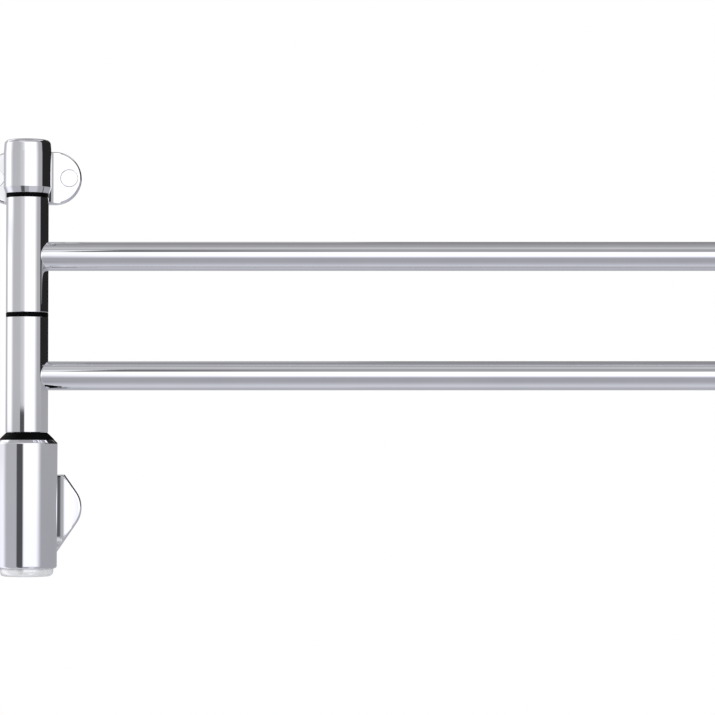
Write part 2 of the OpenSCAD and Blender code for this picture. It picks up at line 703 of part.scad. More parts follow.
top_bracket();
top_screw_covers();
top_bracket_bolt();
top_cap();
top_socket();
top_ring();
spindle();
middle_ring();
collar();
housing();
low_socket();
socket_grub_screws();
low_bracket();
low_bracket_bolt();
low_wall_plate();
low_lock_screw();
inlet_grommet();
housing_grommet();
board_carrier();
carrier_screws();
control_board();
terminal_block();
relay();
thermal_fuse();
loom_plug();
wiring_loom();
earth_tag();
earth_screw();
switch_board();
push_switch();
indicator_lamp();
button_guide();
guide_screws();
button();
button_clip();
switch_plunger();
button_spring();
sleeve(upper_z);  // upper_sleeve
arm_tube(upper_z);  // upper_arm_tube
end_plug(upper_z);  // upper_end_plug
top_bush(upper_z);  // upper_top_bush
low_bush(upper_z);  // upper_low_bush
stop_pin(upper_z);  // upper_stop_pin
heater(upper_z);  // upper_heater
spacers(upper_z);  // upper_spacers
lead(upper_z);  // upper_lead
sleeve(lower_z);  // lower_sleeve
arm_tube(lower_z);  // lower_arm_tube
end_plug(lower_z);  // lower_end_plug
top_bush(lower_z);  // lower_top_bush
low_bush(lower_z);  // lower_low_bush
stop_pin(lower_z);  // lower_stop_pin
heater(lower_z);  // lower_heater
spacers(lower_z);  // lower_spacers
lead(lower_z);  // lower_lead
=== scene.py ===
# A wall-hung heated towel rail in chrome: an upright column on two wall brackets, with two arms that swing.
# Sizes are in millimetres until a piece is skinned. +X runs along the arms, +Y into the wall, +Z up.
import json
import math

import bmesh
import bpy
import numpy as np
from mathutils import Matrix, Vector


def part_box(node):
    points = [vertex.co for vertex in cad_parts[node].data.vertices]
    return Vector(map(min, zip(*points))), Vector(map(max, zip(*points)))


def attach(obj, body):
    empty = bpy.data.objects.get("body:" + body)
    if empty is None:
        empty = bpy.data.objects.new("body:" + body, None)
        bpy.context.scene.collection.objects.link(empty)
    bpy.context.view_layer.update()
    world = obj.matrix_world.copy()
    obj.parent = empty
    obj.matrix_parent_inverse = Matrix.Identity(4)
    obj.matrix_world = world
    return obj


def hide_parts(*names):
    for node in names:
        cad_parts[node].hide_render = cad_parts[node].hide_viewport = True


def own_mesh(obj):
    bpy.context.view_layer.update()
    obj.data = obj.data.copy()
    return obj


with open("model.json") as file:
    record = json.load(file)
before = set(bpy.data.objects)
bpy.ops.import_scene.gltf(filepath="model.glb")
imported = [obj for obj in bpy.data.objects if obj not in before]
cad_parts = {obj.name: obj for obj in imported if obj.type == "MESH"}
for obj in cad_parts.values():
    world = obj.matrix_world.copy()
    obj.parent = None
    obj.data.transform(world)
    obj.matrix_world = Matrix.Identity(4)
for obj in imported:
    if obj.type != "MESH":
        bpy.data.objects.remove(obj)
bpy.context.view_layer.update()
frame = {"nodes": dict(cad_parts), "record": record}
scene = bpy.context.scene

mm = 0.001
fullTurn = 2 * math.pi
quarterTurn = fullTurn / 4


# Lowest and highest corner of a CAD node, in millimetres
def nodeBox(node):
    low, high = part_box(node)
    return np.array(low) / mm, np.array(high) / mm


# Foot, top and radius of a CAD node that is round and upright, in millimetres
def uprightSize(node):
    low, high = nodeBox(node)
    return low[2], high[2], (high[0] - low[0]) / 2


spindleLow, spindleHigh = nodeBox("spindle")
columnY = (spindleLow[1] + spindleHigh[1]) / 2
spindleRadius = uprightSize("spindle")[2]
sleeveRadius = uprightSize("lower_sleeve")[2]


# Nodes of materials

# Adds a node, sets its settings, and sets or links its inputs
def addNode(tree, kind, inputs=None, **settings):
    node = tree.nodes.new(kind)
    for key, value in settings.items():
        setattr(node, key, value)
    for key, value in (inputs or {}).items():
        if isinstance(value, bpy.types.NodeSocket):
            tree.links.new(value, node.inputs[key])
        else:
            node.inputs[key].default_value = value
    return node


# The result of a sum on numbers or sockets
def reckon(tree, operation, *values):
    return addNode(tree, "ShaderNodeMath", dict(enumerate(values)), operation=operation).outputs["Value"]


# Carries a value from one span to another, and holds it at the ends
def mapRange(tree, value, fromSpan, toSpan=(0.0, 1.0), kind="LINEAR"):
    return addNode(tree, "ShaderNodeMapRange", {
        "Value": value, "From Min": fromSpan[0], "From Max": fromSpan[1],
        "To Min": toSpan[0], "To Max": toSpan[1],
    }, interpolation_type=kind).outputs["Result"]


# The second value in place of the first by a share, for numbers or for colours
def mix(tree, share, one, two, kind="FLOAT"):
    mixer = addNode(tree, "ShaderNodeMix", {"Factor": share, "A": one, "B": two}, data_type=kind)
    return mixer.outputs["Result"]


# One shader, and the other in its place by a share
def mixShaders(tree, share, one, two):
    return addNode(tree, "ShaderNodeMixShader", {0: share, 1: one, 2: two}).outputs[0]


# The x, y and z of the point or the direction that is being coloured
def axisParts(tree, coordinates):
    place = addNode(tree, "ShaderNodeTexCoord").outputs[coordinates]
    return tuple(addNode(tree, "ShaderNodeSeparateXYZ", {"Vector": place}).outputs)


def opaque(colour):
    return (*colour, 1)


# Finishes

# Noises: their detail for colour and for relief, how rough they are, the span that they mostly keep to, and
# how much finer than the mottle the changes of roughness are
noise = {"mottle": 4.0, "relief": 2.0, "rough": 0.5, "span": (0.3, 0.7), "finer": 2.3}
finishes = {}


# Noise on object coordinates, in grains per metre, drawn out along the axes with a low share
def grain(tree, perMetre, detail, stretch):
    place = addNode(tree, "ShaderNodeTexCoord").outputs["Object"]
    stretched = addNode(tree, "ShaderNodeMapping", {"Vector": place, "Scale": stretch}).outputs["Vector"]
    return addNode(tree, "ShaderNodeTexNoise", {
        "Vector": stretched, "Scale": perMetre, "Detail": detail, "Roughness": noise["rough"],
    }).outputs["Fac"]


# A finish has two near colours that mottle it, with the grains of its mottle per metre, a span of roughness,
# and a fine and a coarse relief, each given by its grains per metre and its depth in metres
def dress(name, colours, mottle, roughness, fine, coarse, metal=0.0, stretch=(1, 1, 1), **sockets):
    material = bpy.data.materials.new(name)
    material.use_nodes = True
    tree = material.node_tree
    shader = tree.nodes["Principled BSDF"]
    share = mapRange(tree, grain(tree, mottle, noise["mottle"], stretch), noise["span"])
    colour = mix(tree, share, opaque(colours[0]), opaque(colours[1]), "RGBA")
    wear = grain(tree, mottle * noise["finer"], noise["mottle"], stretch)
    worn = mapRange(tree, wear, noise["span"], roughness)
    relief = {}
    for perMetre, depth in (coarse, fine):
        height = grain(tree, perMetre, noise["relief"], stretch)
        inputs = {"Height": height, "Distance": depth, "Strength": 1.0, **relief}
        relief = {"Normal": addNode(tree, "ShaderNodeBump", inputs).outputs["Normal"]}
    tree.links.new(colour, shader.inputs["Base Color"])
    tree.links.new(worn, shader.inputs["Roughness"])
    tree.links.new(relief["Normal"], shader.inputs["Normal"])
    shader.inputs["Metallic"].default_value = metal
    for key, value in sockets.items():
        shader.inputs[key.replace("_", " ")].default_value = value
    finishes[name] = material


# Polished plating
polish = {"mottle": 30, "roughness": (0.012, 0.03), "fine": (1500, 4e-8), "coarse": (45, 6e-7), "metal": 1.0}
# Painted light: the brackets and their covers get a copy of the chrome whose colour is raised, so that their
# flat faces mirror the studio as white
paintedBrightPlating = ((0.965, 0.97, 0.985), (0.98, 0.985, 0.995))
dress("chrome_plate", ((0.87, 0.875, 0.9), (0.9, 0.905, 0.93)), **polish)
dress("chrome_bracket", paintedBrightPlating, **polish)

dress("black_plastic", ((0.001, 0.0011, 0.0013), (0.0024, 0.0026, 0.003)),
      120, (0.42, 0.56), (2600, 4e-6), (160, 5e-6), Specular_IOR_Level=0.03)
dress("dark_plastic", ((0.02, 0.02, 0.022), (0.034, 0.034, 0.037)),
      100, (0.45, 0.6), (2400, 8e-6), (160, 8e-6))
dress("pale_plastic", ((0.89, 0.895, 0.91), (0.93, 0.93, 0.94)),
      60, (0.09, 0.13), (1800, 1e-7), (90, 8e-7), metal=0.35)
dress("white_plastic", ((0.78, 0.77, 0.73), (0.85, 0.84, 0.81)),
      80, (0.4, 0.55), (2200, 6e-6), (140, 8e-6))
dress("steel", ((0.5, 0.51, 0.52), (0.6, 0.61, 0.62)),
      70, (0.26, 0.42), (900, 4e-6), (120, 4e-6), metal=1.0, stretch=(0.08, 1, 1))
dress("dark_steel", ((0.07, 0.07, 0.075), (0.13, 0.13, 0.135)),
      160, (0.3, 0.48), (2600, 4e-6), (260, 6e-6), metal=1.0)
dress("turned_aluminium", ((0.68, 0.69, 0.7), (0.76, 0.77, 0.78)),
      90, (0.24, 0.36), (1400, 3e-6), (150, 4e-6), metal=1.0, stretch=(0.3, 0.3, 2))
dress("black_rubber", ((0.014, 0.014, 0.014), (0.028, 0.028, 0.028)),
      140, (0.62, 0.8), (2400, 1.2e-5), (200, 1e-5))
dress("board_green", ((0.015, 0.1, 0.035), (0.03, 0.17, 0.07)),
      260, (0.25, 0.4), (1500, 6e-6), (400, 1e-5))
dress("terminal_green", ((0.04, 0.24, 0.08), (0.06, 0.32, 0.11)),
      120, (0.42, 0.55), (2000, 6e-6), (150, 6e-6))
dress("relay_blue", ((0.02, 0.08, 0.33), (0.035, 0.12, 0.42)),
      120, (0.3, 0.42), (2000, 5e-6), (150, 5e-6))
dress("fuse_tan", ((0.5, 0.34, 0.2), (0.62, 0.44, 0.27)),
      300, (0.25, 0.4), (2600, 4e-6), (300, 6e-6))
dress("brass", ((0.68, 0.5, 0.2), (0.78, 0.6, 0.28)),
      120, (0.22, 0.36), (1800, 3e-6), (200, 4e-6), metal=1.0)
dress("red_silicone", ((0.36, 0.035, 0.02), (0.46, 0.05, 0.03)),
      90, (0.5, 0.65), (1800, 6e-6), (120, 8e-6))
dress("white_silicone", ((0.7, 0.7, 0.68), (0.8, 0.8, 0.78)),
      90, (0.5, 0.65), (1800, 6e-6), (120, 8e-6))
dress("lamp_clear", ((0.85, 0.92, 1.0), (0.92, 0.97, 1.0)),
      200, (0.08, 0.14), (1500, 1e-6), (200, 2e-6), Transmission_Weight=0.7)

# Painted shade: the plating's colour is darkened in the hollow where the lower neck meets its flange, where
# it
# lies in shade behind the housing: nearer the middle of the bracket than a distance, in front of the flange
# and above the foot of the neck, each fading over a length
recess = {
    "finish": "chrome_with_painted_shade", "dark": (0.24, 0.245, 0.26), "side": 21.9, "sideFade": 1.4,
    "front": 7.4, "frontFade": 0.4, "foot": -22.5, "footFade": 0.8,
}


# Paints the shade of the hollow into the plating's colour
def darkenRecess(tree):
    colourIn = tree.nodes["Principled BSDF"].inputs["Base Color"]
    x, y, z = axisParts(tree, "Object")
    side = (recess["side"] * mm, (recess["side"] + recess["sideFade"]) * mm)
    front = (-recess["front"] * mm, -(recess["front"] + recess["frontFade"]) * mm)
    foot = (recess["foot"] * mm, (recess["foot"] + recess["footFade"]) * mm)
    near = mapRange(tree, reckon(tree, "ABSOLUTE", x), side, (1.0, 0.0), "SMOOTHSTEP")
    inFront = reckon(tree, "MULTIPLY", mapRange(tree, y, front), mapRange(tree, z, foot))
    paintedShade = reckon(tree, "MULTIPLY", near, inFront)
    plated = colourIn.links[0].from_socket
    tree.links.new(mix(tree, paintedShade, plated, opaque(recess["dark"]), "RGBA"), colourIn)


# The lower bracket's chrome: painted brighter like the upper bracket's, with shade painted into its hollow
dress(recess["finish"], paintedBrightPlating, **polish)
darkenRecess(finishes[recess["finish"]].node_tree)

for row in frame["record"]["subparts"]:
    node = frame["nodes"][row["node"]]
    node.data.materials.clear()
    node.data.materials.append(finishes[row["material_slot"]])
print(f"finishes made: {len(finishes)}")


# Skins

# Points nearer than this are one point, in metres: on a new skin, and on a piece that was cut
skinWeld = 2e-7
cutWeld = 2e-6
# Faces that meet at a sharper turn than this show an edge, in degrees
creaseAngle = 32


def anglesRound(count):
    return np.linspace(0, fullTurn, count, endpoint=False)


# Rounds the corners of a line. A corner is (a, b, radius) and gives way to the arc of that radius that
# touches both of its sides, by turning its first spoke into its last in equal angles. A point a little
# before and after each arc keeps the shading of the long sides straight.
def roundedLine(corners, steps=6, ease=0.2):
    points = np.array([corner[:2] for corner in corners], float)
    befores, afters = np.roll(points, 1, 0), np.roll(points, -1, 0)
    share = np.linspace(0, 1, steps + 1)[:, None]
    line = []
    for point, before, after, (_, _, radius) in zip(points, befores, afters, corners):
        if radius == 0:
            line.append(point[None])
            continue
        back = (before - point) / np.linalg.norm(before - point)
        ahead = (after - point) / np.linalg.norm(after - point)
        half = math.acos(np.clip(back @ ahead, -1, 1)) / 2
        centre = point + (back + ahead) / np.linalg.norm(back + ahead) * radius / math.sin(half)
        first, last = point + back * radius / math.tan(half), point + ahead * radius / math.tan(half)
        sweep = math.pi - 2 * half
        spokes = np.sin((1 - share) * sweep) * (first - centre) + np.sin(share * sweep) * (last - centre)
        line += [(first + back * ease)[None], centre + spokes / math.sin(sweep), (last + ahead * ease)[None]]
    return np.vstack(line)


# Turns a line of (radius, height) pairs round an upright axis: x = r cos t, y = the axis's y + r sin t and
# z = height
def aboutUpright(line, around=192, y=columnY):
    t = anglesRound(around)
    radius, height = line[:, :1], line[:, 1:]
    return np.stack([radius * np.cos(t), y + radius * np.sin(t), height + 0 * t], axis=-1)


# Turns a line of (radius, length) pairs round an arm: x = length, y = the column's y + r cos t and
# z = the arm's z + r sin t
def aboutArm(line, armZ, around=128):
    t = anglesRound(around)
    radius, length = line[:, :1], line[:, 1:]
    return np.stack([length + 0 * t, columnY + radius * np.cos(t), armZ + radius * np.sin(t)], axis=-1)


# Turns a line of (radius, depth) pairs round an axis that stands out from the wall at x, z
def aboutWallAxis(line, x, z, around=96):
    t = anglesRound(around)
    radius, depth = line[:, :1], line[:, 1:]
    return np.stack([x + radius * np.cos(t), -depth + 0 * t, z + radius * np.sin(t)], axis=-1)


# Welds a mesh, drops its stray edges and turns its faces outward. A cut leaves slivers and pinholes, which go
# too.
def mend(mesh, gap, wasCut=False):
    form = bmesh.new()
    form.from_mesh(mesh)
    bmesh.ops.remove_doubles(form, verts=form.verts, dist=gap)
    if wasCut:
        bmesh.ops.dissolve_degenerate(form, edges=form.edges, dist=gap)
        bmesh.ops.holes_fill(form, edges=[edge for edge in form.edges if edge.is_boundary], sides=0)
    bmesh.ops.delete(form, geom=[edge for edge in form.edges if not edge.link_faces], context="EDGES")
    bmesh.ops.recalc_face_normals(form, faces=form.faces)
    form.to_mesh(mesh)
    form.free()


# Joins grids of points into one closed skin each, row to row and round each row, in metres
def skin(name, *grids):
    points, faces, count = [], [], 0
    for grid in grids:
        rows, around = grid.shape[:2]
        index = count + np.arange(rows * around).reshape(rows, around)
        nextRow = np.roll(index, -1, axis=0)
        quads = np.stack([index, np.roll(index, -1, 1), np.roll(nextRow, -1, 1), nextRow], axis=-1)
        points.append(grid.reshape(-1, 3) * mm)
        faces.append(quads.reshape(-1, 4))
        count += rows * around
    skinMesh = bpy.data.meshes.new(name)
    skinMesh.from_pydata(np.vstack(points).tolist(), [], np.vstack(faces).tolist())
    mend(skinMesh, skinWeld)
    piece = bpy.data.objects.new(name, skinMesh)
    scene.collection.objects.link(piece)
    return piece


# Cuts closed shapes out of a piece
def cutOut(piece, *cutterGrids):
    cutters = [skin(f"{piece.name}_cutter{k}", grid) for k, grid in enumerate(cutterGrids)]
    for cutter in cutters:
        cut = piece.modifiers.new(cutter.name, "BOOLEAN")
        cut.operation, cut.solver, cut.object = "DIFFERENCE", "EXACT", cutter
    bpy.context.view_layer.update()
    cutMesh = bpy.data.meshes.new_from_object(piece.evaluated_get(bpy.context.evaluated_depsgraph_get()))
    mend(cutMesh, cutWeld, wasCut=True)
    piece.modifiers.clear()
    piece.data = cutMesh
    for cutter in cutters:
        bpy.data.objects.remove(cutter)


# Shades a piece, gives it its finish, and sets it on its body in place of its CAD node
def settle(piece, body, slotName, node, finish=None):
    piece.data.shade_smooth()
    piece.data.set_sharp_from_angle(angle=math.radians(creaseAngle))
    piece.data.materials.clear()
    piece.data.materials.append(finishes[finish or slotName])
    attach(piece, body)
    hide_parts(node)
    return piece


# Cap: its upper edge is round, its sides draw in a little towards the top, and its foot tapers to the ring
cap = {
    "edge": 3.6, "draft": 0.7, "shoulder": 10.0, "bend": 25.0, "taper": 1.6, "taperHeight": 4.5,
    "taperEdge": 0.5, "lip": 0.25, "wall": 2.5, "roof": 2.5, "steps": 10,
}
foot, top, capRadius = uprightSize("top_cap")
inner, roof = capRadius - cap["wall"], top - cap["roof"]
capLine = roundedLine([
    (0, top, 0), (capRadius - cap["draft"], top, cap["edge"]),
    (capRadius, top - cap["shoulder"], cap["bend"]), (capRadius, foot + cap["taperHeight"], cap["taperEdge"]),
    (capRadius - cap["taper"], foot, cap["lip"]), (inner, foot, cap["lip"]), (inner, roof, 0), (0, roof, 0),
], steps=cap["steps"])
settle(skin("columnCap", aboutUpright(capLine)), "root", "chrome_plate", "top_cap")

# Rings above and between the sleeves
ring = {"edge": 0.35}
for pieceName, node in (("topRing", "top_ring"), ("middleRing", "middle_ring")):
    foot, top, outer = uprightSize(node)
    ringLine = roundedLine([
        (spindleRadius, foot, 0), (outer, foot, ring["edge"]), (outer, top, ring["edge"]),
        (spindleRadius, top, 0),
    ])
    settle(skin(pieceName, aboutUpright(ringLine)), "root", "black_plastic", node)

# Collar: a cone from the housing up to the lower sleeve, with an upright lip at each end
collar = {"lip": 0.3, "edge": 0.12, "ease": 0.05}
foot, top, outer = uprightSize("collar")
neckRadius = sleeveRadius - collar["lip"]
collarLine = roundedLine([
    (spindleRadius, foot, 0), (outer, foot, 0), (outer, foot + collar["lip"], collar["edge"]),
    (neckRadius, top - collar["lip"], collar["edge"]), (neckRadius, top, 0), (spindleRadius, top, 0),
], ease=collar["ease"])
settle(skin("collarCone", aboutUpright(collarLine)), "root", "black_plastic", "collar")

# Housing: a cup that is open below, with a bevel round its top and a round edge at its foot
housing = {
    "footEdge": 2.0, "draft": 0.35, "bevel": 2.5, "bevelEdge": 1.3, "wall": 2.4, "mouthEdge": 0.2,
    "roof": 3.0, "ease": 0.1, "around": 224,
}
housingFoot, top, housingRadius = uprightSize("housing")
inner, roof, bevel = housingRadius - housing["wall"], top - housing["roof"], housing["bevel"]
housingLine = roundedLine([
    (inner, housingFoot, housing["mouthEdge"]),
    (housingRadius - housing["draft"], housingFoot, housing["footEdge"]),
    (housingRadius, top - bevel, housing["bevelEdge"]), (housingRadius - bevel, top, housing["bevelEdge"]),
    (spindleRadius, top, 0), (spindleRadius, roof, 0), (inner, roof, 0),
], ease=housing["ease"])
settle(skin("housingShell", aboutUpright(housingLine, housing["around"])), "root", "chrome_plate", "housing")

# Button: its face is dished by a cosine squared of the radius, and a hub stands up from its back. The last
# corner of its side only shows the way to the dish, and is left out.
button = {
    "edge": 4.2, "topEdge": 0.4, "dish": 0.7, "dishRadius": 13.0, "dishRings": 12, "rim": 0.2, "hub": 8.0,
    "sink": 0.5, "steps": 12,
}
foot, top, outer = uprightSize("button")
shoulder, hub = housingFoot + button["sink"], button["hub"]
dishRadii = np.linspace(0, button["dishRadius"], button["dishRings"])
dishRise = button["dish"] * np.cos(dishRadii / button["dishRadius"] * quarterTurn) ** 2
buttonSide = roundedLine([
    (outer, foot, button["edge"]), (outer, shoulder, button["topEdge"]), (hub, shoulder, 0), (hub, top, 0),
    (0, top, 0), (button["dishRadius"] + button["rim"], foot, 0),
], steps=button["steps"])[:-1]
buttonLine = np.vstack([np.stack([dishRadii, foot + dishRise], -1), buttonSide])
settle(skin("pushButton", aboutUpright(buttonLine)), "push_button", "pale_plastic", "button")

# The button's spring is one round wire on a helix: x = r cos a, y = the column's y + r sin a, and z climbs
# evenly with a. Its rings lie square to the helix, and its ends are closed. It is set whole on the button's
# body, with a mesh of its own.
spring = {"turns": 5, "wire": 0.35, "steps": 48, "sides": 16}
foot, top, outer = uprightSize("button_spring")
coil, length = outer - spring["wire"], top - foot
a = np.linspace(0, spring["turns"] * fullTurn, spring["turns"] * spring["steps"] + 1)[:, None]
climb = (length - 2 * spring["wire"]) / a[-1, 0]
lean = anglesRound(spring["sides"])[:, None]
heights = foot + spring["wire"] + climb * a
middles = np.hstack([coil * np.cos(a), columnY + coil * np.sin(a), heights])[:, None]
outwards = np.hstack([np.cos(a), np.sin(a), 0 * a])[:, None]
along = np.hstack([-coil * np.sin(a), coil * np.cos(a), climb + 0 * a])[:, None] / math.hypot(coil, climb)
rings = middles + spring["wire"] * (outwards * np.cos(lean) + np.cross(along, outwards) * np.sin(lean))
ends = np.repeat(middles[[0, -1]], spring["sides"], axis=1)
springGrid = np.concatenate([ends[:1], rings, ends[1:]])
wire = settle(skin("buttonSpring", springGrid), "push_button", "steel", "button_spring")
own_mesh(wire)
print("column made")


# Arms: the sleeves that turn on the spindle, their tubes and the plugs in the tubes' ends

sleeve = {"edge": 0.25, "wall": 2.5}
arm = {
    "wall": 1.5, "weld": 0.25, "weldRows": 6, "weldEase": 0.4, "around": 144, "endEdge": 0.15,
    "rows": 14, "rowsFrom": 3, "rowsTo": 0.5,
}
plug = {"gap": 0.05, "length": 10, "innerEdge": 0.3, "edge": 0.8, "dome": 0.35, "ease": 0.1}


# The arm starts where it meets the sleeve: at each angle t round the arm the length there is the root of the
# sleeve's radius squared less r cos t squared. A small weld swells the arm's radius as it nears the sleeve.
def armTube(armZ, radius, end):
    t = anglesRound(arm["around"])
    level = 0 * t

    def saddle(r):
        return np.sqrt(sleeveRadius ** 2 - (r * np.cos(t)) ** 2)

    rows = []
    for angle in np.linspace(0, quarterTurn, arm["weldRows"]):
        swollen = radius + arm["weld"] * (1 - math.sin(angle))
        rows.append((swollen, saddle(swollen) + arm["weld"] * (1 - math.cos(angle))))
    rows.append((radius, saddle(radius) + arm["weld"] + arm["weldEase"]))
    start, inner = sleeveRadius + arm["rowsFrom"], radius - arm["wall"]
    rows += [(radius, length + level) for length in np.linspace(start, end - arm["rowsTo"], arm["rows"])]
    rows += [(radius, end - arm["endEdge"] + level), (radius - arm["endEdge"], end + level)]
    rows += [(inner, end + level), (inner, start + level), (inner, saddle(inner))]
    return np.stack([
        np.stack([length, columnY + r * np.cos(t), armZ + r * np.sin(t)], -1) for r, length in rows])


for side in ("upper", "lower"):
    body = f"{side}_arm"
    foot, top, outer = uprightSize(f"{side}_sleeve")
    inner = sleeveRadius - sleeve["wall"]
    sleeveLine = roundedLine([
        (sleeveRadius, foot, sleeve["edge"]), (sleeveRadius, top, sleeve["edge"]),
        (inner, top, 0), (inner, foot, 0),
    ])
    settle(skin(f"{side}Sleeve", aboutUpright(sleeveLine)), body, "chrome_plate", f"{side}_sleeve")

    low, high = nodeBox(f"{side}_arm_tube")
    radius, armZ, tubeEnd = (high[2] - low[2]) / 2, (high[2] + low[2]) / 2, high[0]
    settle(skin(f"{side}ArmTube", armTube(armZ, radius, tubeEnd)), body, "chrome_plate", f"{side}_arm_tube")

    tip = nodeBox(f"{side}_end_plug")[1][0]
    inner, plugStart = radius - arm["wall"] - plug["gap"], tubeEnd - plug["length"]
    plugLine = roundedLine([
        (0, plugStart, 0), (inner, plugStart, plug["innerEdge"]), (inner, tubeEnd, 0),
        (radius, tubeEnd, arm["endEdge"]), (radius, tip - plug["dome"], plug["edge"]), (0, tip, 0),
    ], ease=plug["ease"])
    settle(skin(f"{side}EndPlug", aboutArm(plugLine, armZ)), body, "chrome_plate", f"{side}_end_plug")
print("arms made")


# Wall brackets

# Counts of directions: for the edges of an outline, round a casting, and round the hollow of the lower one
edgeCount, castingCount, hollowCount = 1440, 1080, 360
# A direction doesn't meet an edge that it faces less than this
leastFacing = 1e-3
# The depths where cutters start and end: behind the wall, past a neck and past a plate
behindWall, pastNeck, pastPlate = -1, 40, 8
# The saddles of the necks stay this far from the column
saddleGap = 0.05

# The rows of a casting: the inset and depth of each row round its back edge, how far from its front edge a
# row on each side keeps the shading flat, the counts of rows round that edge and on the neck's sweep, and the
# shares of the way to the column and of the reach on the saddle
castingRows = {
    "back": ((0.5, 0.0), (0.3, 0.0), (0.09, 0.09), (0.0, 0.3), (0.0, 0.6)), "hold": 0.3,
    "front": 10, "sweep": 20, "stem": (0.1, 0.4, 0.7, 0.97, 1.0),
    "saddle": (0.995, 0.98, 0.95, 0.88, 0.75, 0.5, 0.25, 0.0),
}


# How far a convex outline reaches from its middle in each direction. The outline is the hull of circles
# (x, z, radius), drawn in by inset. The reach is the least, over all edge directions, of the outline's
# support less the inset, divided by the cosine of the angle between the two directions.
def reach(directions, circles, inset=0.0):
    x, z, r = np.array(circles, float).T[:, :, None]
    edges = anglesRound(edgeCount)
    support = (x * np.cos(edges) + z * np.sin(edges) + r).max(axis=0) - inset
    facing = np.cos(directions[:, None] - edges)
    return np.where(facing > leastFacing, support / np.maximum(facing, leastFacing), np.inf).min(axis=1)


# The four small circles whose hull is a rectangle from left to right and bottom to top
def rectangle(left, right, bottom, top, corner):
    return [(x, z, corner) for x in (left + corner, right - corner) for z in (bottom + corner, top - corner)]


# Rows of points round an axis that stands out from the wall at a height, from (reach, depth) pairs
def wallRows(directions, rows, z=0.0):
    x, up, level = np.cos(directions), np.sin(directions), 0 * directions
    return np.stack([np.stack([span * x, level - depth, z + span * up], -1) for span, depth in rows])


# A bracket is drawn by its reach from its middle in each direction at each depth: the greater of the plate's
# reach, which draws in round the plate's front edge, and the neck's, which stays a little inside its outline.
# The neck is a bar that spreads on to the plate in a quarter round: at a depth its half width grows by the
# sweep less the root of the sweep squared less the rest of the way squared. It ends on the column in a
# saddle, whose depth is the column's depth less the root of its radius squared less x squared.
def bracketGrid(spec):
    directions = anglesRound(castingCount)
    thick, edge, neck, hold = spec["thick"], spec["edge"], spec["neck"], castingRows["hold"]
    neckRoot = thick + neck["sweep"]

    def plateReach(inset):
        return reach(directions, spec["plate"], inset)

    def neckReach(depth):
        def grown(sweep):
            rest = min(max(thick + sweep - depth, 0), sweep)
            return sweep - math.sqrt(sweep ** 2 - rest ** 2)

        half, foot = neck["half"] + grown(neck["sweep"]), neck["low"] - grown(neck["footSweep"])
        outline = rectangle(-half, half, foot, neck["high"], neck["corner"])
        return np.minimum(reach(directions, outline), inside)

    def saddleDepth(span):
        x = span * np.cos(directions)
        return np.minimum(-columnY - np.sqrt(np.maximum(spec["column"] ** 2 - x ** 2, 0)), spec["end"])

    plate, inside = plateReach(0.0), plateReach(neck["in"])
    root, stem = neckReach(thick), neckReach(spec["end"])
    rim = saddleDepth(stem)
    rows = [(0 * plate, 0.0)] + [(plateReach(inset), depth) for inset, depth in castingRows["back"]]
    rows.append((plate, thick - edge - hold))
    for angle in np.linspace(0, quarterTurn, castingRows["front"]):
        drawn = plateReach(edge * (1 - math.cos(angle)))
        rows.append((np.maximum(drawn, root), thick - edge + edge * math.sin(angle)))
    rows.append((np.maximum(plateReach(edge + hold), root), thick))
    for angle in np.linspace(0, quarterTurn, castingRows["sweep"]):
        depth = thick + neck["sweep"] * (1 - math.cos(angle))
        rows.append((neckReach(depth), depth))
    rows += [(stem, neckRoot + (rim - neckRoot) * share) for share in castingRows["stem"]]
    rows += [(stem * share, saddleDepth(stem * share)) for share in castingRows["saddle"]]
    return wallRows(directions, rows, spec["z"])


# A stepped round hole out from the wall at x, z: each of its two steps has a radius from its depth on, and
# the hole ends at the far depth
def steppedHole(x, z, first, second, far):
    (one, near), (two, step) = first, second
    line = [(0, near), (one, near), (one, step), (two, step), (two, far), (0, far)]
    return aboutWallAxis(np.array(line, float), x, z)


# Upper bracket: a plate with two round lobes, two screws under covers, and a bolt from behind into the neck
low, high = nodeBox("top_bracket")
lobe, middle = (high[2] - low[2]) / 2, (high[2] + low[2]) / 2
topBracket = {
    "z": middle, "thick": 6.0, "edge": 1.8, "column": capRadius + saddleGap, "end": 36.0, "short": 0.6,
    "neck": {"half": capRadius - 6.5, "low": -lobe, "high": lobe, "sweep": 10.0, "footSweep": 0.5,
             "corner": 1.0, "in": 0.9},
    "screwX": 28.2, "screwHole": 2.75, "coverSeat": 6.8, "coverFrom": 1.4,
    "boltHole": 3.2, "boltFrom": 14.0, "headSeat": 5.2,
}
topBracket["plate"] = [(side * (high[0] - lobe - topBracket["short"]), 0, lobe) for side in (-1, 1)]
screwPlaces = (-topBracket["screwX"], topBracket["screwX"])
piece = skin("topBracketCasting", bracketGrid(topBracket))
screwSteps = (topBracket["screwHole"], behindWall), (topBracket["coverSeat"], topBracket["coverFrom"])
boltSteps = (topBracket["headSeat"], behindWall), (topBracket["boltHole"], topBracket["boltFrom"])
cutOut(piece, steppedHole(0, middle, *boltSteps, pastNeck),
       *[steppedHole(x, middle, *screwSteps, pastPlate) for x in screwPlaces])
# Its chrome is painted brighter than the column's, so that its flat face shows white
settle(piece, "root", "chrome_plate", "top_bracket", finish="chrome_bracket")

# Covers over the screws, each a shallow cup that opens to the wall
cover = {"radius": 6.65, "thick": 1.4, "skirt": 1.2, "edge": 0.35, "back": 3.4, "front": 6.0, "ease": 0.1}
skirtRadius, underside = cover["radius"] - cover["skirt"], cover["front"] - cover["thick"]
coverLine = roundedLine([
    (0, cover["front"], 0), (cover["radius"], cover["front"], cover["edge"]),
    (cover["radius"], cover["back"], 0), (skirtRadius, cover["back"], 0),
    (skirtRadius, underside, 0), (0, underside, 0),
], ease=cover["ease"])
# The covers' chrome is painted brighter too
settle(skin("screwCovers", *[aboutWallAxis(coverLine, x, middle) for x in screwPlaces]),
       "root", "chrome_plate", "top_screw_covers", finish="chrome_bracket")

